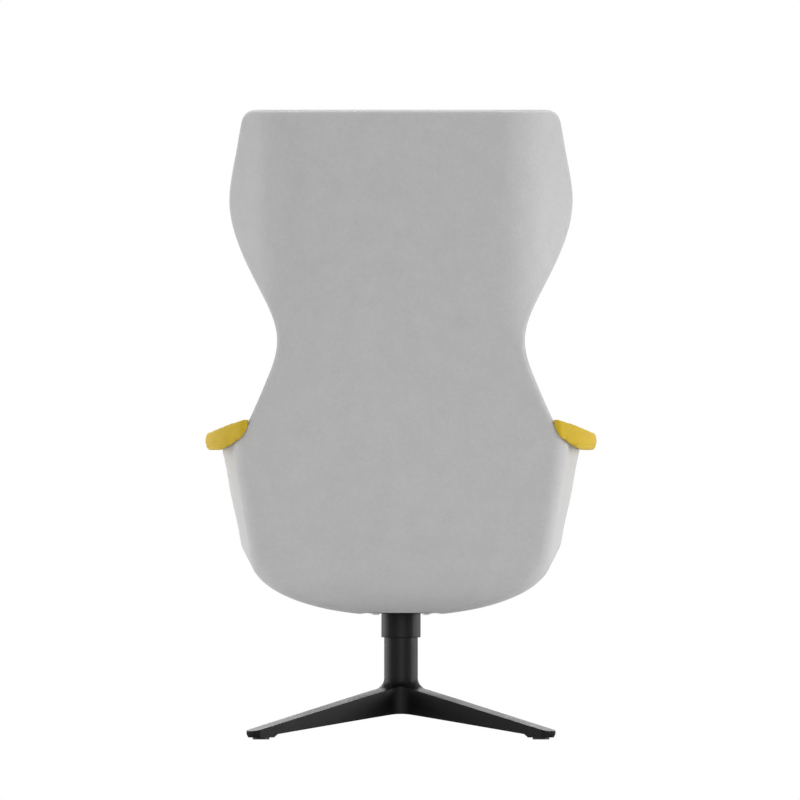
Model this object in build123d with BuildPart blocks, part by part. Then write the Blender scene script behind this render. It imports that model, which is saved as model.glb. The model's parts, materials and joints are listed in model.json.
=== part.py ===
"""Swivel lounge chair: a winged, upholstered shell with arm pads on a column and a four-star base.

Millimetres, +Z up, the chair faces -Y. The origin is on the floor, on the swivel axis.
"""
import os
from math import asin, cos, radians, sin, sqrt, tan

from build123d import *

# Floor glides and star base
GLIDE_DIAMETER = 30.0
GLIDE_HEIGHT = 3.5
GLIDE_STEM_DIAMETER = 9.0
GLIDE_STEM_LENGTH = 5.0
GLIDE_RADIUS = 352.0
GLIDE_SCREW_DIAMETER = 3.5
GLIDE_SCREW_LENGTH = 9.0
GLIDE_SCREW_RECESS = 2.2
GLIDE_SCREW_HEAD = 1.4
GLIDE_BEVEL = 0.8
LEG_COUNT = 4
LEG_ANGLE = 45.0
LEG_REACH = 380.0
LEG_ROOT_HALF = 20.0
LEG_TIP_HALF = 15.5
LEG_TIP_ROUND = 12.0
LEG_WEB_ROUND = 24.0
LEG_TOP_SLOPE = 0.2247
LEG_TIP_TOP = 15.0
HEEL_HEIGHT = 9.5
HUB_UNDER = 47.0
HUB_UNDER_RADIUS = 24.0
FOOT_LENGTH = 33.0
FOOT_HEEL = 9.5
LEG_SKIN = 5.0
LEG_RIB = 4.0
LEG_POCKETS = 3
HUB_WALL_RADIUS = 42.0

# Column
NECK_TOP = 110.0
NECK_FILLET = 19.6
COLUMN_DIAMETER = 60.0
COLUMN_LENGTH = 95.0
COLUMN_BORE = 40.0
SPIGOT_DIAMETER = 50.0
SPIGOT_LENGTH = 58.0
SPINDLE_DIAMETER = 30.0
BUSH_LENGTH = 20.0
BUSH_INSET = 10.0
RUNNING_FIT = 0.05
COLUMN_BEVEL = 1.0

# Thrust bearing
RACE_DIAMETER = 47.0
RACE_BORE = 32.0
RACE_THICKNESS = 3.5
BALL_DIAMETER = 5.0
BALL_COUNT = 12
GROOVE_DEPTH = 1.0
CAGE_THICKNESS = 2.0
CAGE_MARGIN = 0.5
BEARING_LIFT = 0.5

# Spindle, its retainer and the collar
FLANGE_DIAMETER = 46.0
FLANGE_THICKNESS = 7.0
SOCKET_DIAMETER = 46.0
SOCKET_LENGTH = 15.0
WASHER_DIAMETER = 38.0
WASHER_THICKNESS = 2.0
CIRCLIP_THICKNESS = 1.5
CIRCLIP_DIAMETER = 36.0
CIRCLIP_GROOVE = 1.5
CIRCLIP_MOUTH = 8.0
SPINDLE_TAIL = 4.0
END_PLAY = 0.2
COLLAR_DIAMETER = 70.0
COLLAR_WALL = 4.0
COLLAR_OVERLAP = 23.5

# Seat plate and its fixings
PLATE_WIDTH = 120.0
PLATE_DEPTH = 240.0
PLATE_THICKNESS = 4.0
PLATE_CORNER = 14.0
PLATE_BOLT_X = 90.0
PLATE_BOLT_Y = 190.0
PLATE_SHIFT = -20.0
PLATE_OPENING_GAP = 6.0
BOLT_DIAMETER = 8.0
BOLT_HEAD_DIAMETER = 14.0
BOLT_HEAD_HEIGHT = 3.0
BOLT_HEAD_ROUND = 1.2
BOLT_WASHER_DIAMETER = 17.0
BOLT_WASHER_THICKNESS = 1.0
T_NUT_DIAMETER = 22.0
T_NUT_FLANGE = 1.5
T_NUT_BARREL = 11.0
FIXING_GAP = 0.3

# Shell: outer surface, in level planes that rise towards the front
SEAT_TILT = 4.0
SHELL_HEIGHT = 893.0
BOWL_TOP = 110.0
BOWL_FLAT_HALF = 70.0
BOWL_CENTRE_Y = 56.0
BOWL_CORNER = 60.0
SEAT_REAR_Y = 196.0
SEAT_RECLINE = 16.0
HEAD_RECLINE = 8.5
SEAT_REAR_HALF = 267.0
SEAT_FRONT_HALF = 285.0
REAR_LEAN = 0.159
FRONT_LEAN = 0.217
SEAT_CORNER = 28.0
HEAD_CORNER = 100.0
HEAD_CORNER_HALF = 225.0
WING_ANGLE = 58.0
WING_START = 280.0
WING_FULL = 593.0
FLARE_FRONT_Y = -300.0
TUB_CLOSE_Y = -430.0
HEAD_CLOSE_Y = 120.0
TUB_TOP = 975.0
LEAST_CORNER = 6.0
WALL_STEPS = 11
BOWL_STEPS = 8

# Shell layers
COVER_THICKNESS = 8.0
LAYER_GAP = 0.6
CORE_THICKNESS = 12.0
CORE_EDGE = 12.0
WALL_THICKNESS = 52.0
INNER_FLOOR = 70.0
INNER_CORNER = 48.0

# Shell edge seen from behind, heights above the underside of the shell
TOP_HALF = 280.0
TOP_ROUND = 25.0
SHOULDER_HALF = 290.0
SHOULDER_DROP = 60.0
WING_HALF = 305.0
WING_HEIGHT = 726.0
WING_FOOT_HALF = 255.0
WING_FOOT_HEIGHT = 581.0
WAIST_HALF = 219.5
WAIST_HEIGHT = 482.0
ARM_RISE_HALF = 240.0
ARM_RISE_HEIGHT = 409.0
ARM_ROOT_HALF = 277.0
ARM_ROOT_HEIGHT = 327.0
ARM_FRONT_HALF = 320.0
ARM_FRONT_HEIGHT = 290.5
ARM_EDGE_SLOPE = 0.54

# Shell edge seen from the side
ARM_NOSE_Y = -285.0
SEAT_NOSE_Y = -362.0
SEAT_NOSE_HEIGHT = 75.0

# Seat cushion
CUSHION_THICKNESS = 120.0
CUSHION_CROWN = 9.0
CUSHION_NOSE_Y = -371.0
CUSHION_GAP = 3.0
CUSHION_LIFT = 0.4
CUSHION_CORNER = 54.0
CUSHION_DRAW = 5.0
CUSHION_EDGE = 16.0
CUSHION_BULGE = 5.0
CUSHION_STEPS = 3
CUSHION_CROWN_RADIUS = 2600.0
CUSHION_MIDDLE_Y = -110.0

# Arm pads
PAD_OUTER_HALF = 347.5
PAD_BEND_HALF = 347.0
PAD_INNER_HALF = 262.0
PAD_NOSE_Y = -302.0
PAD_BEND_Y = 90.0
PAD_TAIL_Y = 265.0
PAD_TAIL_HALF = 281.0
PAD_TAIL_INNER_HALF = 244.0
PAD_TAIL_INNER_Y = 246.0
PAD_UNDER = 289.0
PAD_THICKNESS = 29.0
PAD_RISE = 30.0
PAD_EDGE = 7.0
PAD_CORNER = 30.0
PAD_TAIL_CORNER = 12.0
PAD_GAP = 0.5
PAD_LAP = 2.0
ARM_TOP_REAR_Y = 208.0
BOARD_THICKNESS = 8.0
BOARD_MARGIN = 16.0
BOARD_TAIL_Y = 40.0
BOARD_HEIGHT = 15.0
ARM_SCREW_DIAMETER = 5.0
ARM_SCREW_HEAD = 10.0
ARM_SCREW_HEAD_HEIGHT = 3.0
ARM_SCREW_LENGTH = 62.0
ARM_SCREW_YS = (-220.0, -100.0, 20.0)

# Worked-out heights along the swivel axis
column_top = NECK_TOP + COLUMN_LENGTH
upper_race_under = column_top + BEARING_LIFT
ball_height = upper_race_under + GROOVE_DEPTH - BALL_DIAMETER / 2
race_seat = ball_height - BALL_DIAMETER / 2 + GROOVE_DEPTH - RACE_THICKNESS
flange_under = upper_race_under + RACE_THICKNESS
socket_under = flange_under + FLANGE_THICKNESS
plate_under = socket_under + SOCKET_LENGTH
plate_top = plate_under + PLATE_THICKNESS

# Worked-out places of the shell
bowl_start = asin(BOWL_FLAT_HALF / SEAT_REAR_HALF)
bowl_rise = BOWL_TOP / cos(bowl_start)
core_outer = COVER_THICKNESS + LAYER_GAP
core_inner = core_outer + CORE_THICKNESS
tilt = tan(radians(SEAT_TILT))
shell_under = plate_top - core_outer * cos(bowl_start)
far = 3 * WING_HALF


def level_plane(height):
    """Plane of one shell section, at a height above the underside of the shell on the swivel axis."""
    lift = (0, sin(radians(SEAT_TILT)), cos(radians(SEAT_TILT)))
    return Plane(origin=(0, 0, shell_under + height), x_dir=(1, 0, 0), z_dir=lift)


def smooth_share(value, start, end):
    """Share from 0 to 1 that eases in after start and out before end."""
    share = min(max((value - start) / (end - start), 0.0), 1.0)
    return share * share * (3 - 2 * share)


def back_y(height):
    """Rear line of the outer surface: reclined at the seat and more upright at the head."""
    rise = height - BOWL_TOP
    low = tan(radians(SEAT_RECLINE))
    high = tan(radians(HEAD_RECLINE))
    return SEAT_REAR_Y + low * rise - (low - high) * rise**2 / (2 * (SHELL_HEIGHT - BOWL_TOP))


def wall_values(height):
    """Half-width at the rear corner, flare per millimetre forward, corner radius and closing line."""
    share = smooth_share(height, WING_START, WING_FULL)
    rear_half = SEAT_REAR_HALF + REAR_LEAN * (height - BOWL_TOP)
    front_half = SEAT_FRONT_HALF + FRONT_LEAN * (height - BOWL_TOP)
    tub_flare = (front_half - rear_half) / (back_y(height) - FLARE_FRONT_Y)
    head_flare = 1 / tan(radians(WING_ANGLE))
    half = rear_half + (HEAD_CORNER_HALF - rear_half) * share
    flare = tub_flare + (head_flare - tub_flare) * share
    corner = SEAT_CORNER + (HEAD_CORNER - SEAT_CORNER) * share
    close_y = TUB_CLOSE_Y + (HEAD_CLOSE_Y - TUB_CLOSE_Y) * share
    return half, flare, corner, close_y


def outer_half_at(y, z):
    """Half-width of the outer surface on an arm's side wall."""
    height = z - shell_under + y * tilt
    half, flare, _, _ = wall_values(height)
    return half + (back_y(height) - y) * flare


def shell_section(height, half, rear_y, flare, corner, close_y, inset):
    """Section of the shell in a level plane: flat back, rounded rear corners and side walls."""
    slant = sqrt(1 + flare**2)
    radius = max(corner, LEAST_CORNER)
    tangent = radius * (slant - flare)
    sharp = Vector(half - inset * (slant - flare), rear_y - inset)
    arc_start = sharp - Vector(tangent, 0)
    arc_end = sharp + Vector(flare, -1) * (tangent / slant)
    centre = arc_start - Vector(0, radius)
    arc_middle = centre + (sharp - centre).normalized() * radius
    front = Vector(sharp.X + (sharp.Y - close_y + inset) * flare, close_y - inset)
    with BuildSketch(level_plane(height)) as section:
        with BuildLine():
            Line((0, sharp.Y), arc_start)
            ThreePointArc(arc_start, arc_middle, arc_end)
            Polyline(arc_end, front, (0, front.Y))
            mirror(about=Plane.YZ)
        make_face()
    return section.sketch


def wall_section(height, inset, corner=None):
    """Section of the side walls and the back at one height."""
    half, flare, outer_corner, close_y = wall_values(height)
    own_corner = outer_corner - inset if corner is None else max(corner, outer_corner - inset)
    return shell_section(height, half, back_y(height), flare, own_corner, close_y, inset)


def bowl_section(angle, inset):
    """Section of the rounded bowl under the seat, from its flat bottom up to the side walls."""
    half, flare, corner, close_y = wall_values(BOWL_TOP)
    height = BOWL_TOP - (bowl_rise - inset) * cos(angle)
    rear_y = BOWL_CENTRE_Y + (SEAT_REAR_Y - inset - BOWL_CENTRE_Y) * sin(angle)
    round_corner = corner + (BOWL_CORNER - corner) * cos(angle) - inset
    bowl_half = (half - inset) * sin(angle)
    return shell_section(height, bowl_half, rear_y, flare * sin(angle), round_corner, close_y - inset, 0.0)


def wall_sections(inset, corner=None, first=0):
    """Evenly spaced sections of the walls up to above the head, a little higher for each inset."""
    step = (TUB_TOP + inset - BOWL_TOP) / WALL_STEPS
    return [wall_section(BOWL_TOP + step * i, inset, corner) for i in range(first, WALL_STEPS + 1)]


def shell_envelope(inset):
    """Closed form inside one inset of the shell's outer surface, open to nothing."""
    angles = [bowl_start + (radians(90) - bowl_start) * i / BOWL_STEPS for i in range(BOWL_STEPS)]
    sections = [bowl_section(angle, inset) for angle in angles]
    sections += wall_sections(inset)
    with BuildPart() as envelope:
        loft(sections)
    return envelope.part


def sitting_space(inset):
    """Form of the room inside the upholstery, above its flat floor."""
    with BuildPart() as space:
        loft(wall_sections(inset, INNER_CORNER, first=-1))
        split(bisect_by=level_plane(INNER_FLOOR), keep=Keep.TOP)
    return space.part


def shell_edge_points(inset):
    """Points of the shell's edge as seen from behind, from the shoulder to the arm, moved in by an inset."""
    points = [
        (SHOULDER_HALF, SHELL_HEIGHT - SHOULDER_DROP),
        (WING_HALF, WING_HEIGHT),
        (WING_FOOT_HALF, WING_FOOT_HEIGHT),
        (WAIST_HALF, WAIST_HEIGHT),
        (ARM_RISE_HALF, ARM_RISE_HEIGHT),
        (ARM_ROOT_HALF, ARM_ROOT_HEIGHT),
        (ARM_FRONT_HALF, ARM_FRONT_HEIGHT),
    ]
    before = [(TOP_HALF, SHELL_HEIGHT), *points]
    beyond = [*points[1:], (ARM_FRONT_HALF + 1, ARM_FRONT_HEIGHT - ARM_EDGE_SLOPE)]
    moved = []
    for point, last, following in zip(points, before, beyond):
        along = (Vector(*following) - Vector(*last)).normalized()
        moved.append((point[0] + inset * along.Y, shell_under + point[1] - inset * along.X))
    return moved


def arm_top_room(gap):
    """Room over the level arm tops that carry the pads, inside the shell core, drawn in by a gap."""
    with BuildPart() as room:
        with BuildSketch(Plane.XY.offset(shell_under + PAD_UNDER - PAD_GAP + gap)):
            with Locations((0, ARM_TOP_REAR_Y - gap)):
                Rectangle(far, far, align=(Align.CENTER, Align.MAX))
        extrude(amount=WAIST_HEIGHT - PAD_UNDER)
        add(shell_envelope(core_inner + LAYER_GAP + gap), mode=Mode.INTERSECT)
    return room.part


def rear_trim(inset):
    """Everything inside the shell's edge as seen from behind, drawn in by an inset."""
    top = shell_under + SHELL_HEIGHT - inset
    corner = (TOP_HALF - inset, top)
    edge = shell_edge_points(inset)
    shoulder = edge[0]
    arm_front = edge[-1]
    outside = (far / 2, arm_front[1] - (far / 2 - arm_front[0]) * ARM_EDGE_SLOPE)
    start = (SHOULDER_HALF - TOP_HALF, -SHOULDER_DROP)
    with BuildPart() as trim:
        with BuildSketch(Plane.XZ.offset(-far)) as outline:
            with BuildLine():
                Polyline((0, 0), (0, top), corner, shoulder)
                Spline(*edge, tangents=[start, (1, -ARM_EDGE_SLOPE)])
                Polyline(arm_front, outside, (far / 2, 0), (0, 0))
            make_face()
            fillet(outline.vertices().sort_by_distance(corner)[:1], TOP_ROUND - inset)
            mirror(about=Plane.YZ)
        extrude(amount=2 * far)
    return trim.part


def front_trim(inset):
    """Everything behind the arm noses and the seat nose as seen from the side, drawn in by an inset."""
    top = shell_under + SHELL_HEIGHT + WALL_THICKNESS
    seat_nose = (SEAT_NOSE_Y, shell_under + SEAT_NOSE_HEIGHT)
    arm_nose = (ARM_NOSE_Y, shell_under + ARM_FRONT_HEIGHT)
    with BuildPart() as trim:
        with BuildSketch(Plane.YZ.offset(-far)):
            with BuildLine():
                Line((SEAT_NOSE_Y, 0), seat_nose)
                TangentArc(seat_nose, arm_nose, tangent=(0, 1))
                Polyline(arm_nose, (0, top), (far, top), (far, 0), (SEAT_NOSE_Y, 0))
            make_face()
            offset(amount=-inset)
        extrude(amount=2 * far)
    return trim.part


def axis_ring(outer_radius, inner_radius, under):
    """Ring about the swivel axis, drawn at the height of its underside."""
    with BuildSketch(Plane.XY.offset(under)) as ring:
        Circle(outer_radius)
        Circle(inner_radius, mode=Mode.SUBTRACT)
    return ring.sketch


# Star base: one radial profile turned about the axis, kept only where the plan has legs
spindle_radius = SPINDLE_DIAMETER / 2
column_radius = COLUMN_DIAMETER / 2
toe = GLIDE_RADIUS + FOOT_LENGTH / 2
foot_start = GLIDE_RADIUS - FOOT_LENGTH / 2
heel = foot_start - FOOT_HEEL


def leg_top(radius):
    """Height of the leg's sloping top."""
    return LEG_TIP_TOP + LEG_TOP_SLOPE * (LEG_REACH - radius)


with BuildSketch() as leg_plan:
    with PolarLocations(0, LEG_COUNT, start_angle=LEG_ANGLE):
        Polygon(
            (0, -LEG_ROOT_HALF),
            (LEG_REACH, -LEG_TIP_HALF),
            (LEG_REACH, LEG_TIP_HALF),
            (0, LEG_ROOT_HALF),
            align=None,
        )
    fillet(leg_plan.vertices().sort_by_distance((0, 0))[-2 * LEG_COUNT :], LEG_TIP_ROUND)
    fillet(leg_plan.vertices().sort_by_distance((0, 0))[:LEG_COUNT], LEG_WEB_ROUND)

with BuildPart() as leg_pockets:
    pocket_length = (heel - HUB_WALL_RADIUS) / LEG_POCKETS
    with BuildSketch(Plane.XZ):
        for step in range(LEG_POCKETS):
            start = HUB_WALL_RADIUS + step * pocket_length
            end = start + pocket_length - LEG_RIB
            with BuildLine():
                Polyline(
                    (start, 0),
                    (end, 0),
                    (end, leg_top(end) - LEG_SKIN),
                    (start, leg_top(start) - LEG_SKIN),
                    close=True,
                )
            make_face()
    revolve(axis=Axis.Z)
    with BuildSketch() as pocket_plan:
        add(leg_plan.sketch)
        offset(amount=-LEG_SKIN)
    extrude(amount=NECK_TOP, mode=Mode.INTERSECT)

with BuildPart() as star_base:
    with BuildSketch(Plane.XZ) as base_profile:
        with BuildLine():
            Polyline(
                (0, HUB_UNDER),
                (0, NECK_TOP),
                (column_radius, NECK_TOP),
                (column_radius, leg_top(column_radius)),
                (LEG_REACH, LEG_TIP_TOP),
                (toe, GLIDE_HEIGHT),
                (foot_start, GLIDE_HEIGHT),
                (heel, HEEL_HEIGHT),
                (HUB_UNDER_RADIUS, HUB_UNDER),
                close=True,
            )
        make_face()
        neck_corner = base_profile.vertices().sort_by_distance((column_radius, leg_top(column_radius)))[:1]
        fillet(neck_corner, NECK_FILLET)
    revolve(axis=Axis.Z)
    add(leg_plan.sketch)
    extrude(amount=NECK_TOP, mode=Mode.INTERSECT)
    add(leg_pockets.part, mode=Mode.SUBTRACT)
    with Locations((0, 0, NECK_TOP)):
        Hole(SPIGOT_DIAMETER / 2)
    with PolarLocations(GLIDE_RADIUS, LEG_COUNT, start_angle=LEG_ANGLE):
        with Locations((0, 0, GLIDE_HEIGHT + GLIDE_STEM_LENGTH)):
            Hole(GLIDE_STEM_DIAMETER / 2, GLIDE_STEM_LENGTH)
star_base.part.label = "star_base"

# Floor glides: a disc under each foot with a stem in the casting
glide_names = ("glide_rear_left", "glide_rear_right", "glide_front_right", "glide_front_left")
glide_angles = [radians(LEG_ANGLE + 360 / LEG_COUNT * i) for i in range(LEG_COUNT)]
glide_places = [(GLIDE_RADIUS * cos(angle), GLIDE_RADIUS * sin(angle)) for angle in glide_angles]
glides = []
for glide_name, place in zip(glide_names, glide_places):
    with BuildPart() as glide:
        with BuildSketch():
            with Locations(place):
                Circle(GLIDE_DIAMETER / 2)
        extrude(amount=GLIDE_HEIGHT)
        chamfer(glide.edges().group_by(Axis.Z)[0], GLIDE_BEVEL)
        with BuildSketch(Plane.XY.offset(GLIDE_HEIGHT)):
            with Locations(place):
                Circle(GLIDE_STEM_DIAMETER / 2 - FIXING_GAP)
        extrude(amount=GLIDE_STEM_LENGTH - FIXING_GAP)
        with Locations((*place, 0)):
            Hole(GLIDE_SCREW_DIAMETER / 2 + RUNNING_FIT)
        with BuildSketch():
            with Locations(place):
                Circle(GLIDE_SCREW_DIAMETER + FIXING_GAP)
        extrude(amount=GLIDE_SCREW_RECESS, mode=Mode.SUBTRACT)
    glide.part.label = glide_name
    glides.append(glide)

with BuildPart() as glide_screws:
    with BuildSketch(Plane.XY.offset(GLIDE_SCREW_RECESS)):
        with Locations(glide_places):
            Circle(GLIDE_SCREW_DIAMETER)
    extrude(amount=-GLIDE_SCREW_HEAD)
    with BuildSketch(Plane.XY.offset(GLIDE_SCREW_RECESS)):
        with Locations(glide_places):
            Circle(GLIDE_SCREW_DIAMETER / 2)
    extrude(amount=GLIDE_SCREW_LENGTH)
glide_screws.part.label = "glide_screws"

# Column tube on the neck of the base, with a spigot in its bore and a seat for the bearing
spigot_end = NECK_TOP - SPIGOT_LENGTH
with BuildPart() as column_tube:
    extrude(axis_ring(column_radius, COLUMN_BORE / 2, NECK_TOP), amount=COLUMN_LENGTH)
    extrude(axis_ring(SPIGOT_DIAMETER / 2, COLUMN_BORE / 2, spigot_end), amount=SPIGOT_LENGTH)
    chamfer(column_tube.edges().group_by(Axis.Z)[-1].sort_by(SortBy.LENGTH)[-1:], COLUMN_BEVEL)
    with Locations((0, 0, column_top)):
        CounterBoreHole(COLUMN_BORE / 2, RACE_DIAMETER / 2 + RUNNING_FIT, column_top - race_seat)
column_tube.part.label = "column_tube"

# Bushes that guide the spindle
lower_bush_under = spigot_end + BUSH_INSET
bush_bore_radius = spindle_radius + RUNNING_FIT
with BuildPart() as upper_bush:
    extrude(axis_ring(COLUMN_BORE / 2, bush_bore_radius, race_seat), amount=-BUSH_LENGTH)
upper_bush.part.label = "upper_bush"

with BuildPart() as lower_bush:
    extrude(axis_ring(COLUMN_BORE / 2, bush_bore_radius, lower_bush_under), amount=BUSH_LENGTH)
lower_bush.part.label = "lower_bush"

# Thrust bearing: two grooved races with caged balls between them
ball_pitch = (RACE_DIAMETER + RACE_BORE) / 4
ball_radius = BALL_DIAMETER / 2
with BuildPart() as ball_track:
    with BuildSketch(Plane.XZ):
        with Locations((ball_pitch, ball_height)):
            Circle(ball_radius + RUNNING_FIT)
    revolve(axis=Axis.Z)

with BuildPart() as thrust_race_lower:
    extrude(axis_ring(RACE_DIAMETER / 2, RACE_BORE / 2, race_seat), amount=RACE_THICKNESS)
    add(ball_track.part, mode=Mode.SUBTRACT)
thrust_race_lower.part.label = "thrust_race_lower"

with BuildPart() as thrust_race_upper:
    extrude(axis_ring(RACE_DIAMETER / 2, RACE_BORE / 2, upper_race_under), amount=RACE_THICKNESS)
    add(ball_track.part, mode=Mode.SUBTRACT)
thrust_race_upper.part.label = "thrust_race_upper"

with BuildPart() as bearing_balls:
    with Locations((0, 0, ball_height)):
        with PolarLocations(ball_pitch, BALL_COUNT):
            Sphere(ball_radius)
bearing_balls.part.label = "bearing_balls"

with BuildPart() as ball_cage:
    cage_under = ball_height - CAGE_THICKNESS / 2
    cage_outer = RACE_DIAMETER / 2 - CAGE_MARGIN
    cage_inner = RACE_BORE / 2 + CAGE_MARGIN
    extrude(axis_ring(cage_outer, cage_inner, cage_under), amount=CAGE_THICKNESS)
    with Locations((0, 0, cage_under + CAGE_THICKNESS)):
        with PolarLocations(ball_pitch, BALL_COUNT):
            Hole(ball_radius + RUNNING_FIT)
ball_cage.part.label = "ball_cage"

# Spindle with its thrust flange, and the washer and clip that keep it in the column
washer_top = lower_bush_under - END_PLAY
washer_under = washer_top - WASHER_THICKNESS
clip_under = washer_under - CIRCLIP_THICKNESS
groove_radius = spindle_radius - CIRCLIP_GROOVE
with BuildPart() as spindle:
    with BuildSketch(Plane.XZ):
        with BuildLine():
            Polyline(
                (0, clip_under - SPINDLE_TAIL),
                (spindle_radius, clip_under - SPINDLE_TAIL),
                (spindle_radius, clip_under),
                (groove_radius, clip_under),
                (groove_radius, washer_under),
                (spindle_radius, washer_under),
                (spindle_radius, flange_under),
                (FLANGE_DIAMETER / 2, flange_under),
                (FLANGE_DIAMETER / 2, socket_under),
                (spindle_radius, socket_under),
                (spindle_radius, plate_under),
                (0, plate_under),
                close=True,
            )
        make_face()
    revolve(axis=Axis.Z)
spindle.part.label = "spindle"

with BuildPart() as retaining_washer:
    extrude(axis_ring(WASHER_DIAMETER / 2, bush_bore_radius, washer_under), amount=WASHER_THICKNESS)
retaining_washer.part.label = "retaining_washer"

with BuildPart() as circlip:
    clip_ring = axis_ring(CIRCLIP_DIAMETER / 2, groove_radius + RUNNING_FIT, clip_under)
    extrude(clip_ring, amount=CIRCLIP_THICKNESS)
    with BuildSketch(Plane.XY.offset(clip_under)):
        Rectangle(CIRCLIP_DIAMETER, CIRCLIP_MOUTH, align=(Align.MIN, Align.CENTER))
    extrude(amount=CIRCLIP_THICKNESS, mode=Mode.SUBTRACT)
circlip.part.label = "circlip"

# Seat plate with the socket that takes the spindle
plate_plane = level_plane(plate_top - shell_under)


def bolt_discs(radius, height):
    """Four discs at the plate's bolt places, at a height above the top of the plate."""
    with BuildSketch(plate_plane.offset(height)) as discs:
        with Locations((0, PLATE_SHIFT)):
            with GridLocations(PLATE_BOLT_X, PLATE_BOLT_Y, 2, 2):
                Circle(radius)
    return discs.sketch


def plate_outline(margin):
    """Rounded outline of the seat plate, widened by a margin."""
    with BuildSketch(plate_plane) as outline:
        with Locations((0, PLATE_SHIFT)):
            RectangleRounded(PLATE_WIDTH + 2 * margin, PLATE_DEPTH + 2 * margin, PLATE_CORNER + margin)
    return outline.sketch


plate_shape = plate_outline(0.0)
plate_holes = bolt_discs(BOLT_DIAMETER / 2 + FIXING_GAP, 0.0)
with BuildPart() as seat_plate:
    with BuildSketch(Plane.XY.offset(socket_under)):
        Circle(SOCKET_DIAMETER / 2)
    extrude(amount=SOCKET_LENGTH)
    extrude(plate_shape, amount=-PLATE_THICKNESS)
    extrude(plate_holes, amount=-PLATE_THICKNESS, mode=Mode.SUBTRACT)
    with Locations((0, 0, plate_under)):
        Hole(spindle_radius, SOCKET_LENGTH)
seat_plate.part.label = "seat_plate"

# Bolts, washers and T-nuts that hold the plate to the shell core
washer_face = -PLATE_THICKNESS - BOLT_WASHER_THICKNESS
core_floor = CORE_THICKNESS * cos(bowl_start) * cos(radians(SEAT_TILT))
bolt_heads = bolt_discs(BOLT_HEAD_DIAMETER / 2, washer_face)
bolt_shanks = bolt_discs(BOLT_DIAMETER / 2, washer_face)
bolt_clearance = bolt_discs(BOLT_DIAMETER / 2 + RUNNING_FIT, washer_face)
washer_discs = bolt_discs(BOLT_WASHER_DIAMETER / 2, washer_face)
nut_barrels = bolt_discs(T_NUT_BARREL / 2, 0.0)
nut_flanges = bolt_discs(T_NUT_DIAMETER / 2, core_floor)
nut_holes = bolt_discs(T_NUT_BARREL / 2 + FIXING_GAP, 0.0)
nut_recesses = bolt_discs(T_NUT_DIAMETER / 2 + FIXING_GAP, core_floor)
with BuildPart() as plate_bolts:
    extrude(bolt_heads, amount=-BOLT_HEAD_HEIGHT)
    fillet(plate_bolts.edges().group_by(Axis(plate_plane.origin, plate_plane.z_dir))[0], BOLT_HEAD_ROUND)
    extrude(bolt_shanks, amount=core_floor - washer_face)
plate_bolts.part.label = "plate_bolts"

with BuildPart() as plate_washers:
    extrude(washer_discs, amount=BOLT_WASHER_THICKNESS)
    extrude(bolt_clearance, amount=BOLT_WASHER_THICKNESS, mode=Mode.SUBTRACT)
plate_washers.part.label = "plate_washers"

with BuildPart() as t_nuts:
    extrude(nut_barrels, amount=core_floor)
    extrude(nut_flanges, amount=-T_NUT_FLANGE)
    extrude(bolt_clearance, amount=core_floor - washer_face, mode=Mode.SUBTRACT)
t_nuts.part.label = "t_nuts"

# Collar: sleeve over the top of the column, trimmed to the slope of the seat plate
with BuildPart() as collar:
    collar_radius = COLLAR_DIAMETER / 2
    collar_under = column_top - COLLAR_OVERLAP
    collar_ring = axis_ring(collar_radius, collar_radius - COLLAR_WALL, collar_under)
    extrude(collar_ring, amount=plate_top - collar_under)
    chamfer(collar.edges().group_by(Axis.Z)[0], COLUMN_BEVEL)
    split(bisect_by=plate_plane.offset(-PLATE_THICKNESS), keep=Keep.BOTTOM)
collar.part.label = "collar"

# Shell layers, all cut from insets of one outer surface
outer_form = shell_envelope(0.0)
cover_inside = shell_envelope(COVER_THICKNESS)
core_outside = shell_envelope(core_outer)
core_inside = shell_envelope(core_inner)
core_room = shell_envelope(core_inner + LAYER_GAP)
seat_room = sitting_space(WALL_THICKNESS)
edge_trim = rear_trim(0.0)
nose_trim = front_trim(0.0)
core_edge_trim = rear_trim(CORE_EDGE)
core_nose_trim = front_trim(CORE_EDGE)
room_edge_trim = rear_trim(CORE_EDGE - LAYER_GAP)
room_nose_trim = front_trim(CORE_EDGE - LAYER_GAP)
plate_opening = plate_outline(PLATE_OPENING_GAP)
arm_tops = arm_top_room(0.0)

# Screws that hold the arm pads, leaning with the side walls
board_under = shell_under + PAD_UNDER + BOARD_HEIGHT
board_top = board_under + BOARD_THICKNESS
screw_seat = board_top - ARM_SCREW_HEAD_HEIGHT


def arm_screw_plane(y):
    """Plane at the head of one arm screw, square to a line down the middle of the shell core."""
    low_z = screw_seat - ARM_SCREW_LENGTH
    middle = core_outer + CORE_THICKNESS / 2
    low_x = outer_half_at(y, low_z) - middle
    high_x = outer_half_at(y, screw_seat) - middle
    return Plane(origin=(high_x, y, screw_seat), z_dir=(high_x - low_x, 0, ARM_SCREW_LENGTH))


def arm_screw_set(gap):
    """Arm screws of the left side, swelled by a gap."""
    with BuildPart() as screws:
        for y in ARM_SCREW_YS:
            with BuildSketch(arm_screw_plane(y).offset(-gap)):
                Circle(ARM_SCREW_HEAD / 2 + gap)
            extrude(amount=ARM_SCREW_HEAD_HEIGHT + 2 * gap)
            with BuildSketch(arm_screw_plane(y)):
                Circle(ARM_SCREW_DIAMETER / 2 + gap)
            extrude(amount=-ARM_SCREW_LENGTH - gap)
    return screws.part


screw_form = arm_screw_set(0.0)
screw_room = arm_screw_set(RUNNING_FIT)

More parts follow.
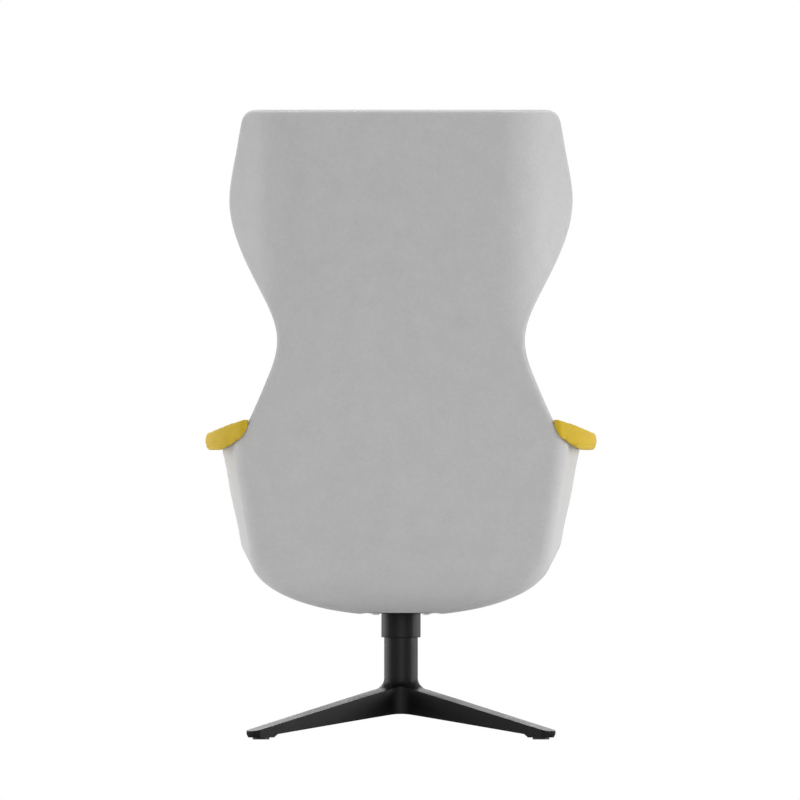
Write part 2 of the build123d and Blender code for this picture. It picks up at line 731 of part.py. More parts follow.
# Room for the arm boards, let into the pads and the padding under them
pad_under = shell_under + PAD_UNDER
bend = (PAD_BEND_HALF, PAD_BEND_Y)
tail = (PAD_TAIL_HALF, PAD_TAIL_Y)
nose_outer = (PAD_OUTER_HALF, PAD_NOSE_Y)
nose_inner = (PAD_INNER_HALF, PAD_NOSE_Y)
tail_inner = (PAD_TAIL_INNER_HALF, PAD_TAIL_INNER_Y)
with BuildSketch() as board_plan:
    with BuildLine():
        Polyline(
            (nose_inner[0] + BOARD_MARGIN, PAD_NOSE_Y + BOARD_MARGIN),
            (nose_outer[0] - BOARD_MARGIN, PAD_NOSE_Y + BOARD_MARGIN),
            (bend[0] - BOARD_MARGIN, BOARD_TAIL_Y),
            (nose_inner[0] + BOARD_MARGIN, BOARD_TAIL_Y),
            close=True,
        )
    make_face()
    fillet(board_plan.vertices(), PAD_CORNER - BOARD_MARGIN)

with BuildPart() as board_room:
    with BuildSketch(Plane.XY.offset(board_under - FIXING_GAP)):
        add(board_plan.sketch)
        offset(amount=FIXING_GAP)
    extrude(amount=BOARD_THICKNESS + 2 * FIXING_GAP)

with BuildPart() as outer_cover:
    add(outer_form)
    add(edge_trim, mode=Mode.INTERSECT)
    add(nose_trim, mode=Mode.INTERSECT)
    add(cover_inside, mode=Mode.SUBTRACT)
    extrude(plate_opening, amount=2 * COVER_THICKNESS, both=True, mode=Mode.SUBTRACT)
outer_cover.part.label = "outer_cover"

with BuildPart() as shell_core:
    add(core_outside)
    add(core_edge_trim, mode=Mode.INTERSECT)
    add(core_nose_trim, mode=Mode.INTERSECT)
    add(core_inside, mode=Mode.SUBTRACT)
    extrude(nut_holes, amount=CORE_THICKNESS, mode=Mode.SUBTRACT)
    extrude(nut_recesses, amount=T_NUT_FLANGE, both=True, mode=Mode.SUBTRACT)
    add(screw_room, mode=Mode.SUBTRACT)
    mirror(screw_room, about=Plane.YZ, mode=Mode.SUBTRACT)
shell_core.part.label = "shell_core"

with BuildPart() as core_pocket:
    add(cover_inside)
    add(room_edge_trim, mode=Mode.INTERSECT)
    add(room_nose_trim, mode=Mode.INTERSECT)
    add(core_room, mode=Mode.SUBTRACT)

with BuildPart() as inner_upholstery:
    add(core_outside)
    add(edge_trim, mode=Mode.INTERSECT)
    add(nose_trim, mode=Mode.INTERSECT)
    add(seat_room, mode=Mode.SUBTRACT)
    add(core_pocket.part, mode=Mode.SUBTRACT)
    add(arm_tops, mode=Mode.SUBTRACT)
    add(board_room.part, mode=Mode.SUBTRACT)
    mirror(board_room.part, about=Plane.YZ, mode=Mode.SUBTRACT)
    add(screw_room, mode=Mode.SUBTRACT)
    mirror(screw_room, about=Plane.YZ, mode=Mode.SUBTRACT)
inner_upholstery.part.label = "inner_upholstery"


# Seat cushion: crowned, with sides that pull in between its corners
def cushion_section(height, shrink):
    """Section of the seat cushion in a level plane."""
    half, flare, _, _ = wall_values(height)
    inset = WALL_THICKNESS + CUSHION_GAP + shrink
    rear_y = back_y(height) - inset
    nose_y = CUSHION_NOSE_Y + shrink
    rear_half = half + inset * (flare - sqrt(1 + flare**2))
    nose_half = rear_half + (rear_y - nose_y) * flare
    side = ((rear_half + nose_half) / 2 - CUSHION_DRAW, (rear_y + nose_y) / 2)
    with BuildSketch(level_plane(height)) as section:
        with BuildLine():
            ThreePointArc((-rear_half, rear_y), (0, rear_y - CUSHION_DRAW), (rear_half, rear_y))
            ThreePointArc((rear_half, rear_y), side, (nose_half, nose_y))
            ThreePointArc((nose_half, nose_y), (0, nose_y + CUSHION_DRAW), (-nose_half, nose_y))
            ThreePointArc((-nose_half, nose_y), (-side[0], side[1]), (-rear_half, rear_y))
        make_face()
        fillet(section.vertices(), CUSHION_CORNER)
    return section.sketch


cushion_under = INNER_FLOOR + CUSHION_LIFT
cushion_summit = cushion_under + CUSHION_THICKNESS + CUSHION_CROWN
cushion_sections = []
for step in range(CUSHION_STEPS + 1):
    share = step / CUSHION_STEPS
    level = cushion_under + (cushion_summit - cushion_under) * share
    cushion_sections.append(cushion_section(level, CUSHION_BULGE * (2 * share - 1) ** 2))
crown_plane = level_plane(cushion_summit).offset(-CUSHION_CROWN_RADIUS)
crown_middle = crown_plane.location * Pos(0, CUSHION_MIDDLE_Y, 0)
with BuildPart() as seat_cushion:
    loft(cushion_sections)
    with Locations(crown_middle):
        Sphere(CUSHION_CROWN_RADIUS, mode=Mode.INTERSECT)
    fillet(seat_cushion.faces().sort_by(Axis.Z)[-1].edges(), CUSHION_EDGE)
    fillet(seat_cushion.faces().sort_by(Axis.Z)[0].edges(), CUSHION_EDGE)
seat_cushion.part.label = "seat_cushion"

# Arm pads: outline in plan, swept up at the tail, seated over the shell's edge and lapped outside it
with BuildSketch(Plane.XY.offset(pad_under)) as pad_plan:
    with BuildLine():
        Line(nose_outer, bend)
        TangentArc(bend, tail, tangent=(bend[0] - nose_outer[0], bend[1] - nose_outer[1]))
        Polyline(tail, tail_inner, nose_inner, nose_outer)
    make_face()
    fillet(pad_plan.vertices().group_by(Axis.Y)[0], PAD_CORNER)
    fillet(pad_plan.vertices().sort_by_distance(tail)[:1], PAD_TAIL_CORNER)
    fillet(pad_plan.vertices().sort_by_distance(tail_inner)[:1], PAD_TAIL_CORNER)

pad_top = pad_under + PAD_THICKNESS
pad_start = PAD_NOSE_Y - PAD_EDGE
pad_end = PAD_TAIL_Y + PAD_EDGE
tail_top = (pad_end, pad_top + PAD_RISE)
top_bend = (PAD_BEND_Y, pad_top)
with BuildPart() as pad_form:
    with BuildSketch(Plane.YZ):
        with BuildLine():
            TangentArc(top_bend, tail_top, tangent=(1, 0))
            Polyline(top_bend, (pad_start, pad_top), (pad_start, pad_under), (pad_end, pad_under), tail_top)
        make_face()
    extrude(amount=far)
    add(pad_plan.sketch)
    extrude(amount=PAD_RISE + PAD_THICKNESS + PAD_EDGE, both=True, mode=Mode.INTERSECT)
    rim_lines = pad_form.edges().filter_by(Axis.Z, reverse=True)
    cross_lines = rim_lines.filter_by(Axis.X)
    bend_line = cross_lines.filter_by_position(Axis.Y, PAD_BEND_Y - PAD_GAP, PAD_BEND_Y + PAD_GAP)
    fillet([edge for edge in rim_lines if edge not in bend_line], PAD_EDGE)

with BuildPart() as arm_board_left:
    with BuildSketch(Plane.XY.offset(board_under)):
        add(board_plan.sketch)
    extrude(amount=BOARD_THICKNESS)
    add(screw_room, mode=Mode.SUBTRACT)
arm_board_left.part.label = "arm_board_left"

pad_seat_form = shell_envelope(-PAD_GAP)
pad_edge_trim = rear_trim(-PAD_GAP)
pad_inner_room = sitting_space(WALL_THICKNESS + PAD_GAP)
pad_arm_room = arm_top_room(PAD_GAP)
pad_nose_trim = front_trim(-PAD_GAP)
with BuildPart() as shell_edge:
    add(pad_seat_form)
    add(pad_edge_trim, mode=Mode.INTERSECT)
    add(pad_nose_trim, mode=Mode.INTERSECT)
    add(pad_inner_room, mode=Mode.SUBTRACT)
    add(pad_arm_room, mode=Mode.SUBTRACT)

pad_lap_trim = rear_trim(PAD_LAP)
with BuildPart() as under_edge:
    add(pad_lap_trim)
    add(cover_inside, mode=Mode.SUBTRACT)

with BuildPart() as arm_pad_left:
    add(pad_form.part)
    add(shell_edge.part, mode=Mode.SUBTRACT)
    add(under_edge.part, mode=Mode.SUBTRACT)
    add(board_room.part, mode=Mode.SUBTRACT)
    add(screw_room, mode=Mode.SUBTRACT)
arm_pad_left.part.label = "arm_pad_left"

with BuildPart() as arm_screws_left:
    add(screw_form)
arm_screws_left.part.label = "arm_screws_left"

# The right arm mirrors the left
with BuildPart() as arm_pad_right:
    mirror(arm_pad_left.part, about=Plane.YZ)
arm_pad_right.part.label = "arm_pad_right"

with BuildPart() as arm_board_right:
    mirror(arm_board_left.part, about=Plane.YZ)
arm_board_right.part.label = "arm_board_right"

with BuildPart() as arm_screws_right:
    mirror(arm_screws_left.part, about=Plane.YZ)
arm_screws_right.part.label = "arm_screws_right"

pieces = [
    star_base,
    *glides,
    glide_screws,
    column_tube,
    upper_bush,
    lower_bush,
    thrust_race_lower,
    bearing_balls,
    ball_cage,
    thrust_race_upper,
    spindle,
    retaining_washer,
    circlip,
    seat_plate,
    plate_bolts,
    plate_washers,
    t_nuts,
    collar,
    shell_core,
    outer_cover,
    inner_upholstery,
    seat_cushion,
    arm_pad_left,
    arm_pad_right,
    arm_board_left,
    arm_board_right,
    arm_screws_left,
    arm_screws_right,
]
os.makedirs("parts", exist_ok=True)
for piece in pieces:
    export_step(piece.part, f"parts/{piece.part.label}.step")
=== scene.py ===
"""Looks of the swivel lounge chair: felt upholstery, powder-coated base, studio light and camera.

Metres, +Z up, the chair faces -Y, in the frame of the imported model.
"""
import json
from math import radians

import bpy
import numpy as np
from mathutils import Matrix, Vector
from mathutils.bvhtree import BVHTree


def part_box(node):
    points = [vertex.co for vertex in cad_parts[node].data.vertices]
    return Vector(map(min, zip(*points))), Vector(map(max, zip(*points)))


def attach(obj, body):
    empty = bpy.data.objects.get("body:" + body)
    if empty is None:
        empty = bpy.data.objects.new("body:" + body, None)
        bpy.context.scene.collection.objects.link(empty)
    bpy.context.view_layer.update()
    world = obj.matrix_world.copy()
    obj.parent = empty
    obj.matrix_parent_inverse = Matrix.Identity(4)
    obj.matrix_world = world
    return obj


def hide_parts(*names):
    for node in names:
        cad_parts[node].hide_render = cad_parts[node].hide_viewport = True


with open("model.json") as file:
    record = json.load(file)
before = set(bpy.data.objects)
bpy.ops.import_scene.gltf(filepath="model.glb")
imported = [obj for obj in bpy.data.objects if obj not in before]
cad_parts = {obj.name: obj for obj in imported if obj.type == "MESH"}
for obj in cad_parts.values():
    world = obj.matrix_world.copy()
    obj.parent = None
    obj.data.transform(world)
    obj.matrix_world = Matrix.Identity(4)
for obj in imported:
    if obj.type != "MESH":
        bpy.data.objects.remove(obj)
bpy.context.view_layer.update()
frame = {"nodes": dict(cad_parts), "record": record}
scene = bpy.context.scene
scene.view_settings.view_transform = "Standard"

# Colours, linear
GREY = (0.44, 0.44, 0.44)
YELLOW = (0.48, 0.33, 0.019)
BLACK = (0.0042, 0.0042, 0.0045)
PLASTIC_BLACK = (0.012, 0.012, 0.012)
PLY = (0.50, 0.34, 0.19)
STEEL = (0.58, 0.58, 0.58)
FLOOR_GREY = (0.86, 0.86, 0.86)
WHITE = (1, 1, 1)

# Shell layers
SHELL_DEPTH = 9  # octree levels, which give cells of about 1.8 mm
SHELL_ROUNDS = 20  # rounds of softening that round the rims
SHELL_VOXEL = 0.0035
SHELL_SHARE = 0.44  # share of the faces that is left at the end
ROLL_ROUNDS = 26  # rounds of softening that roll the rims of the padding over
ROLL_START = 0.012  # distance from the outer cover at which the roll starts
ROLL_WIDTH = 0.015  # distance over which the roll comes in
INNER_GROWTH = 0.0004
INNER_SEAM_HEIGHTS = (0.45, 0.70, 1.12)
INNER_SEAM_HALVES = (0.212, 0.196, 0.168)
INNER_SEAM_SPACING = 0.0036
INNER_SEAM_DEPTH = 0.0034
FACES_FRONT = -0.5  # a normal's part along Y is under this on the front of the back

# Seat cushion
SEAT_TILT = radians(4)
CUSHION_VOXEL = 0.006
CUSHION_PRESSURE = 4.0
CUSHION_LOW = (-0.002, -0.002, -0.0003)
CUSHION_HIGH = (0.002, 0.002, 0.010)
CUSHION_SIDE = 0.55  # a normal's part along the lift is under this on the side band
CUSHION_SEAM_SHARES = (4, 96)  # percent of the side band's points under each seam
CUSHION_SEAM_SPACING = 0.003
CUSHION_SEAM_DEPTH = 0.0032

# Arm pads
PAD_VOXEL = 0.004
PAD_PRESSURE = 3.0
PAD_LOW = (-0.0008, -0.0008, -0.0003)
PAD_HIGH = (0.0008, 0.0008, 0.0008)
PAD_GROWTH = 0.0008
PAD_SIDE = 0.75  # a normal's part along Z is under this on the sides
PAD_SEAM_RISE = 0.0085
PAD_SEAM_SPACING = 0.002
PAD_SEAM_DEPTH = 0.0011

SWELL_STEPS = 20
SWELL_QUALITY = 4

# Usual span of a noise texture, and of two of them added
NOISE_SPAN = (0.3, 0.7)
FIBRE_SPAN = (0.6, 1.4)

# Floor, light and camera
FLOOR_HALF = 6.0
FLOOR_FADE = (1.3, 2.6)
AMBIENT = 0.44
PIXEL = 1.778e-3
IMAGE_PIXELS = 800
CAMERA_PIXELS = (1.0, 339.5)  # middle of the picture, across and up from the floor
CAMERA_DISTANCE = 4.0


# Mesh helpers
def coords(obj):
    """Vertex places as an array."""
    flat = np.zeros(len(obj.data.vertices) * 3)
    obj.data.vertices.foreach_get("co", flat)
    return flat.reshape(-1, 3)


def set_coords(obj, places):
    """Moves the vertices to new places."""
    obj.data.vertices.foreach_set("co", np.ascontiguousarray(places).ravel())
    obj.data.update()


def normals(obj):
    """Vertex normals as an array."""
    flat = np.zeros(len(obj.data.vertices) * 3)
    obj.data.vertices.foreach_get("normal", flat)
    return flat.reshape(-1, 3)


def copy_of_node(name, node):
    """New object with a copy of a CAD node's mesh."""
    mesh = frame["nodes"][node].data.copy()
    mesh.materials.clear()
    obj = bpy.data.objects.new(name, mesh)
    scene.collection.objects.link(obj)
    return obj


def apply_all(obj):
    """Replaces an object's mesh by what its modifiers make of it."""
    graph = bpy.context.evaluated_depsgraph_get()
    graph.update()
    mesh = bpy.data.meshes.new_from_object(obj.evaluated_get(graph))
    old = obj.data
    obj.modifiers.clear()
    obj.data = mesh
    mesh.name = obj.name
    bpy.data.meshes.remove(old)


def voxel_remesh(obj, size):
    """Even quads all over, with the shape kept."""
    mod = obj.modifiers.new("remesh", "REMESH")
    mod.mode = "VOXEL"
    mod.voxel_size = size
    mod.use_smooth_shade = True
    apply_all(obj)


def edge_remesh(obj, depth):
    """Even quads all over, with sharp edges kept in line."""
    mod = obj.modifiers.new("remesh", "REMESH")
    mod.mode = "SHARP"
    mod.octree_depth = depth
    mod.scale = 0.95
    mod.use_remove_disconnected = False
    apply_all(obj)


def subdivide(obj):
    """One level of subdivision."""
    mod = obj.modifiers.new("subdivide", "SUBSURF")
    mod.levels = 1
    mod.render_levels = 1
    apply_all(obj)


def thin_out(obj, share):
    """Leaves a share of the faces, most of them where the surface bends."""
    mod = obj.modifiers.new("thin_out", "DECIMATE")
    mod.ratio = share
    apply_all(obj)


def smoothed(obj, rounds):
    """Places of the points, each drawn halfway to the middle of its neighbours in every round."""
    places = coords(obj)
    pairs = np.zeros(len(obj.data.edges) * 2, dtype=int)
    obj.data.edges.foreach_get("vertices", pairs)
    first, second = pairs.reshape(-1, 2).T
    size = len(places)
    count = np.bincount(pairs, minlength=size)
    for _ in range(rounds):
        total = np.zeros_like(places)
        for axis in range(3):
            total[:, axis] += np.bincount(first, places[second, axis], size)
            total[:, axis] += np.bincount(second, places[first, axis], size)
        places += 0.5 * (total / count[:, None] - places)
    return places


def soften(obj, rounds):
    """Rounds the edges of a piece."""
    set_coords(obj, smoothed(obj, rounds))


def grow(obj, amount):
    """Moves the surface out along its normals."""
    set_coords(obj, coords(obj) + normals(obj) * amount)


def distances(obj, other):
    """How far each point of a piece lies from another piece."""
    faces = [tuple(face.vertices) for face in other.data.polygons]
    tree = BVHTree.FromPolygons(coords(other).tolist(), faces)
    return np.array([tree.find_nearest(place)[3] for place in coords(obj).tolist()])


def sew(obj, offset, across, chosen, spacing, depth):
    """Draws a seam in where offset is nought: points beside the line move onto it and sink."""
    near = chosen & (np.abs(offset) < spacing / 2)
    places = coords(obj)
    outward = normals(obj)
    places[near] -= across * offset[near, None]
    rest = np.where(near, 0, offset)
    sink = np.where(chosen, depth * np.exp(-(rest / (0.75 * spacing)) ** 2), 0)
    set_coords(obj, places - outward * sink[:, None])


def swell(obj, pressure, low, high):
    """Blows a closed form up as stuffed cloth, with each move kept between two corners of a box."""
    start = coords(obj)
    cloth = obj.modifiers.new("cloth", "CLOTH")
    cloth.settings.quality = SWELL_QUALITY
    cloth.settings.use_pressure = True
    cloth.settings.uniform_pressure_force = pressure
    cloth.settings.effector_weights.gravity = 0
    cloth.point_cache.frame_start = 1
    cloth.point_cache.frame_end = SWELL_STEPS
    for step in range(1, SWELL_STEPS + 1):
        scene.frame_set(step)
    graph = bpy.context.evaluated_depsgraph_get()
    move = np.clip(coords(obj.evaluated_get(graph)) - start, low, high)
    obj.modifiers.clear()
    scene.frame_set(1)
    set_coords(obj, start + move)


def shade_smooth(obj):
    """Smooth shading on all faces."""
    obj.data.polygons.foreach_set("use_smooth", [True] * len(obj.data.polygons))
    obj.data.update()


# Node helpers
def new_material(name):
    """Material with its node tree, shader and a texture coordinate in the object's own space."""
    mat = bpy.data.materials.new(name)
    mat.use_nodes = True
    nodes = mat.node_tree.nodes
    shader = nodes["Principled BSDF"]
    place = nodes.new("ShaderNodeTexCoord")
    return mat, mat.node_tree, shader, place.outputs["Object"]


def noise(tree, place, scale, detail=2.0, rough=0.5, stretch=None):
    """Noise texture at a scale, stretched where asked."""
    tex = tree.nodes.new("ShaderNodeTexNoise")
    tex.inputs["Scale"].default_value = scale
    tex.inputs["Detail"].default_value = detail
    tex.inputs["Roughness"].default_value = rough
    if stretch:
        mapping = tree.nodes.new("ShaderNodeMapping")
        mapping.inputs["Scale"].default_value = stretch
        tree.links.new(place, mapping.inputs["Vector"])
        place = mapping.outputs["Vector"]
    tree.links.new(place, tex.inputs["Vector"])
    return tex.outputs["Fac"]


def remap(tree, value, span, to_low, to_high):
    """Maps one range to another."""
    node = tree.nodes.new("ShaderNodeMapRange")
    node.inputs["From Min"].default_value = span[0]
    node.inputs["From Max"].default_value = span[1]
    node.inputs["To Min"].default_value = to_low
    node.inputs["To Max"].default_value = to_high
    tree.links.new(value, node.inputs["Value"])
    return node.outputs["Result"]


def maths(tree, kind, first, second):
    """One value from two, by a sum, a product or the larger one."""
    node = tree.nodes.new("ShaderNodeMath")
    node.operation = kind
    tree.links.new(first, node.inputs[0])
    tree.links.new(second, node.inputs[1])
    return node.outputs["Value"]


def tinted(tree, colour, shade):
    """Colour times a shade value."""
    node = tree.nodes.new("ShaderNodeMix")
    node.data_type = "RGBA"
    node.blend_type = "MULTIPLY"
    node.inputs["Factor"].default_value = 1.0
    node.inputs["A"].default_value = (*colour, 1)
    tree.links.new(shade, node.inputs["B"])
    return node.outputs["Result"]


def bump(tree, shader, height, distance, strength):
    """Bump from a height value, in metres."""
    node = tree.nodes.new("ShaderNodeBump")
    node.inputs["Distance"].default_value = distance
    node.inputs["Strength"].default_value = strength
    tree.links.new(height, node.inputs["Height"])
    tree.links.new(node.outputs["Normal"], shader.inputs["Normal"])


def felt(name, colour, contrast):
    """Felted wool: cloudy shade, short fibres lying both ways and a soft nap."""
    mat, tree, shader, place = new_material(name)

    def shade_of(value, span, part):
        return remap(tree, value, span, 1 - part * contrast, 1 + part * contrast)

    clouds = shade_of(noise(tree, place, 28, 3, 0.55), NOISE_SPAN, 1)
    flecks = shade_of(noise(tree, place, 130, 4, 0.65), NOISE_SPAN, 1.3)
    along = noise(tree, place, 700, stretch=(1, 1, 0.22))
    across = noise(tree, place, 700, stretch=(0.22, 0.22, 1))
    fibres = maths(tree, "ADD", along, across)
    cloudy = maths(tree, "MULTIPLY", clouds, flecks)
    shade = maths(tree, "MULTIPLY", cloudy, shade_of(fibres, FIBRE_SPAN, 1.6))
    tree.links.new(tinted(tree, colour, shade), shader.inputs["Base Color"])
    tree.links.new(remap(tree, fibres, FIBRE_SPAN, 0.84, 0.98), shader.inputs["Roughness"])
    shader.inputs["Specular IOR Level"].default_value = 0.22
    shader.inputs["Sheen Weight"].default_value = 0.12
    shader.inputs["Sheen Roughness"].default_value = 0.55
    shader.inputs["Sheen Tint"].default_value = (*[0.5 + 0.5 * c for c in colour], 1)
    bump(tree, shader, maths(tree, "ADD", fibres, noise(tree, place, 180)), 0.0004, 0.5)
    return mat


def powder_coat(name, colour, roughness, gloss):
    """Powder coat: fine orange peel, with a slightly uneven gloss."""
    mat, tree, shader, place = new_material(name)
    peel = noise(tree, place, 900)
    patches = noise(tree, place, 14, 3, 0.6)
    shade = remap(tree, patches, NOISE_SPAN, 0.92, 1.08)
    rough = remap(tree, patches, NOISE_SPAN, roughness - 0.03, roughness + 0.04)
    tree.links.new(tinted(tree, colour, shade), shader.inputs["Base Color"])
    tree.links.new(rough, shader.inputs["Roughness"])
    shader.inputs["Specular IOR Level"].default_value = gloss
    bump(tree, shader, peel, 0.0001, 0.35)
    return mat


def moulded_plastic(name, colour):
    """Matt moulded plastic with a fine spark-eroded grain."""
    mat, tree, shader, place = new_material(name)
    grain = noise(tree, place, 1600, rough=0.6)
    shade = remap(tree, noise(tree, place, 60), NOISE_SPAN, 0.93, 1.07)
    tree.links.new(tinted(tree, colour, shade), shader.inputs["Base Color"])
    tree.links.new(remap(tree, grain, NOISE_SPAN, 0.5, 0.62), shader.inputs["Roughness"])
    bump(tree, shader, grain, 0.00008, 0.4)
    return mat


def plated_steel(name, colour):
    """Bright zinc-plated steel with turning marks."""
    mat, tree, shader, place = new_material(name)
    marks = noise(tree, place, 500, stretch=(0.1, 0.1, 1))
    shade = remap(tree, noise(tree, place, 90), NOISE_SPAN, 0.92, 1.05)
    tree.links.new(tinted(tree, colour, shade), shader.inputs["Base Color"])
    tree.links.new(remap(tree, marks, NOISE_SPAN, 0.24, 0.38), shader.inputs["Roughness"])
    shader.inputs["Metallic"].default_value = 1.0
    bump(tree, shader, marks, 0.00003, 0.3)
    return mat


def plywood(name, colour):
    """Bare ply with grain lines."""
    mat, tree, shader, place = new_material(name)
    grain = noise(tree, place, 60, 4, 0.6, (1, 1, 0.06))
    span = (0.25, 0.75)
    shade = remap(tree, grain, span, 0.78, 1.15)
    tree.links.new(tinted(tree, colour, shade), shader.inputs["Base Color"])
    tree.links.new(remap(tree, grain, span, 0.55, 0.72), shader.inputs["Roughness"])
    bump(tree, shader, grain, 0.0002, 0.3)
    return mat


grey_felt = felt("grey_felt", GREY, 0.024)
yellow_felt = felt("yellow_felt", YELLOW, 0.03)

# Finishes of the CAD nodes, by material slot
node_finish = {
    "black_casting": powder_coat("black_cast_coat", BLACK, 0.38, 0.11),
    "black_steel": powder_coat("black_tube_coat", BLACK, 0.36, 0.15),
    "black_plastic": moulded_plastic("black_plastic", PLASTIC_BLACK),
    "bright_steel": plated_steel("bright_steel", STEEL),
    "moulded_ply": plywood("bare_ply", PLY),
    "grey_cloth": grey_felt,
    "yellow_cloth": yellow_felt,
}
for entry in frame["record"]["subparts"]:
    node = frame["nodes"][entry["node"]]
    node.data.materials.clear()
    node.data.materials.append(node_finish[entry["material_slot"]])


def finish_soft(obj, node, material):
    """Dresses a soft piece and lets it stand for its CAD node."""
    shade_smooth(obj)
    obj.data.materials.append(material)
    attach(obj, "seat")
    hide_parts(node)


def shell_layer(name, node):
    """Copy of a layer of the shell in even quads, with rounded rims."""
    obj = copy_of_node(name, node)
    edge_remesh(obj, SHELL_DEPTH)
    soften(obj, SHELL_ROUNDS)
    voxel_remesh(obj, SHELL_VOXEL)
    return obj


# Shell: felt over thin foam outside, thicker padding inside
outer = shell_layer("shell_outer_felt", "outer_cover")
soften(outer, 2)
thin_out(outer, SHELL_SHARE)
finish_soft(outer, "outer_cover", grey_felt)

inner = shell_layer("shell_inner_padding", "inner_upholstery")
rolled = smoothed(inner, ROLL_ROUNDS)
free = np.clip((distances(inner, outer) - ROLL_START) / ROLL_WIDTH, 0, 1)[:, None]
soften(inner, 2)
set_coords(inner, coords(inner) * (1 - free) + rolled * free)
grow(inner, INNER_GROWTH)
for side in (-1, 1):
    places = coords(inner)
    line = np.interp(places[:, 2], INNER_SEAM_HEIGHTS, INNER_SEAM_HALVES) * side
    front = normals(inner)[:, 1] < FACES_FRONT
    sew(inner, places[:, 0] - line, np.array((1, 0, 0)), front, INNER_SEAM_SPACING, INNER_SEAM_DEPTH)
soften(inner, 1)
thin_out(inner, SHELL_SHARE)
finish_soft(inner, "inner_upholstery", grey_felt)

# Seat cushion
cushion = copy_of_node("seat_cushion_felt", "seat_cushion")
voxel_remesh(cushion, CUSHION_VOXEL)
swell(cushion, CUSHION_PRESSURE, CUSHION_LOW, CUSHION_HIGH)
soften(cushion, 4)
subdivide(cushion)
lift = np.array((0, np.sin(SEAT_TILT), np.cos(SEAT_TILT)))
band = np.abs(normals(cushion) @ lift) < CUSHION_SIDE
heights = coords(cushion) @ lift
for level in np.percentile(heights[band], CUSHION_SEAM_SHARES):
    rise = coords(cushion) @ lift - level
    sew(cushion, rise, lift, band, CUSHION_SEAM_SPACING, CUSHION_SEAM_DEPTH)
finish_soft(cushion, "seat_cushion", grey_felt)

# Arm pads
for side in ("left", "right"):
    node = f"arm_pad_{side}"
    pad = copy_of_node(f"arm_pad_{side}_felt", node)
    voxel_remesh(pad, PAD_VOXEL)
    swell(pad, PAD_PRESSURE, PAD_LOW, PAD_HIGH)
    soften(pad, 2)
    subdivide(pad)
    grow(pad, PAD_GROWTH)
    rise = coords(pad)[:, 2] - (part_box(node)[0][2] + PAD_SEAM_RISE)
    edge = np.abs(normals(pad)[:, 2]) < PAD_SIDE
    sew(pad, rise, np.array((0, 0, 1)), edge, PAD_SEAM_SPACING, PAD_SEAM_DEPTH)
    finish_soft(pad, node, yellow_felt)

# Floor, which fades into the white background
floor_mesh = bpy.data.meshes.new("floor")
corners = [(x * FLOOR_HALF, y * FLOOR_HALF, 0) for x, y in ((-1, -1), (1, -1), (1, 1), (-1, 1))]
floor_mesh.from_pydata(corners, [], [(0, 1, 2, 3)])
floor = bpy.data.objects.new("floor", floor_mesh)
scene.collection.objects.link(floor)
floor_mat, floor_tree, floor_shader, floor_place = new_material("pale_floor")
floor_shader.inputs["Base Color"].default_value = (*FLOOR_GREY, 1)
floor_shader.inputs["Roughness"].default_value = 0.9
reach = floor_tree.nodes.new("ShaderNodeVectorMath")
reach.operation = "LENGTH"
floor_tree.links.new(floor_place, reach.inputs[0])
floor_fade = floor_tree.nodes.new("ShaderNodeMixShader")
floor_clear = floor_tree.nodes.new("ShaderNodeBsdfTransparent")
faded = remap(floor_tree, reach.outputs["Value"], FLOOR_FADE, 0, 1)
floor_end = floor_tree.nodes["Material Output"].inputs["Surface"]
floor_tree.links.new(faded, floor_fade.inputs["Fac"])
floor_tree.links.new(floor_shader.outputs["BSDF"], floor_fade.inputs[1])
floor_tree.links.new(floor_clear.outputs["BSDF"], floor_fade.inputs[2])
floor_tree.links.new(floor_fade.outputs["Shader"], floor_end)
floor_mesh.materials.append(floor_mat)

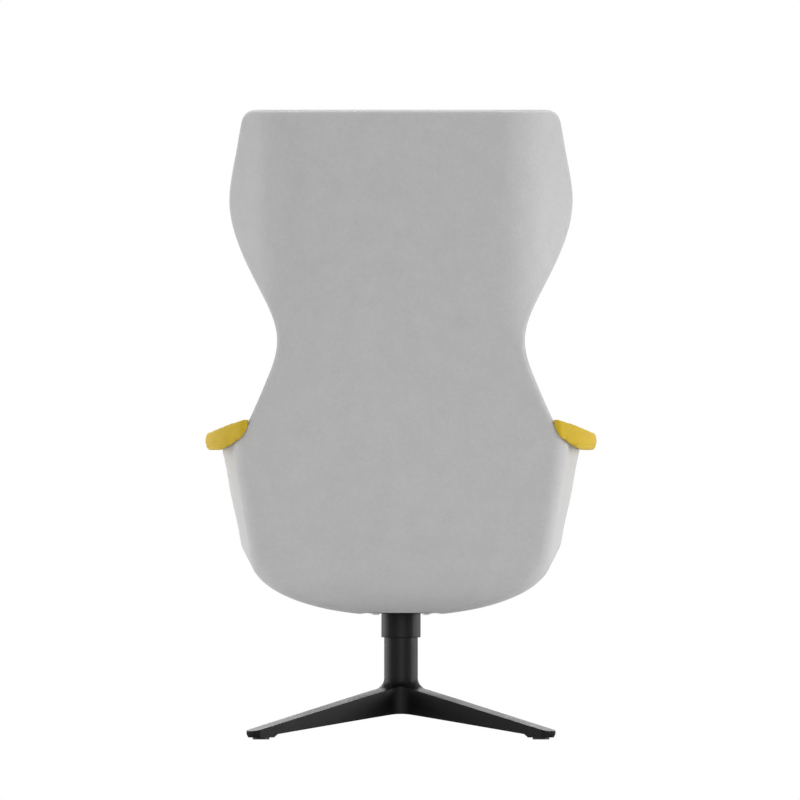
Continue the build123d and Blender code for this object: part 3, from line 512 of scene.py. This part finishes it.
# World: soft light, and plain white where the camera, gloss or glass sees it
world = bpy.data.worlds.new("studio")
scene.world = world
world.use_nodes = True
sky = world.node_tree
ambient = sky.nodes["Background"]
ambient.inputs["Color"].default_value = (*WHITE, 1)
ambient.inputs["Strength"].default_value = AMBIENT
plain = sky.nodes.new("ShaderNodeBackground")
plain.inputs["Color"].default_value = (*WHITE, 1)
plain.inputs["Strength"].default_value = 1.0
rays = sky.nodes.new("ShaderNodeLightPath")
seen = maths(sky, "MAXIMUM", rays.outputs["Is Camera Ray"], rays.outputs["Is Glossy Ray"])
seen = maths(sky, "MAXIMUM", seen, rays.outputs["Is Transmission Ray"])
mix = sky.nodes.new("ShaderNodeMixShader")
sky.links.new(seen, mix.inputs["Fac"])
sky.links.new(ambient.outputs["Background"], mix.inputs[1])
sky.links.new(plain.outputs["Background"], mix.inputs[2])
sky.links.new(mix.outputs["Shader"], sky.nodes["World Output"].inputs["Surface"])


def softbox(name, place, target, size, power):
    """Square area lamp that faces a point."""
    lamp = bpy.data.lights.new(name, "AREA")
    lamp.shape = "SQUARE"
    lamp.size = size
    lamp.energy = power
    obj = bpy.data.objects.new(name, lamp)
    obj.location = place
    obj.rotation_euler = (Vector(target) - Vector(place)).to_track_quat("-Z", "Y").to_euler()
    scene.collection.objects.link(obj)


softbox("box_right", (-2.6, 0.1, 0.7), (0, 0.1, 0.6), 1.05, 32)
softbox("box_left", (1.9, -0.6, 0.35), (0, 0.1, 0.5), 1.8, 30)
softbox("strip_right", (-1.7, -0.8, 0.25), (0, 0, 0.25), 0.5, 3.6)
softbox("box_top", (0, 0.3, 3.0), (0, 0, 0.5), 1.8, 46)
softbox("box_rear", (-0.2, 3.4, 1.1), (0, 0, 0.6), 2.2, 35)
softbox("box_front", (0.3, -2.8, 1.9), (0, 0, 0.6), 2.0, 38)

# Camera: level, square from behind, without perspective
camera_data = bpy.data.cameras.new("camera")
camera_data.type = "ORTHO"
camera_data.ortho_scale = IMAGE_PIXELS * PIXEL
camera = bpy.data.objects.new("camera", camera_data)
camera.location = (CAMERA_PIXELS[0] * PIXEL, CAMERA_DISTANCE, CAMERA_PIXELS[1] * PIXEL)
camera.rotation_euler = (radians(90), 0, radians(180))
scene.collection.objects.link(camera)
scene.camera = camera
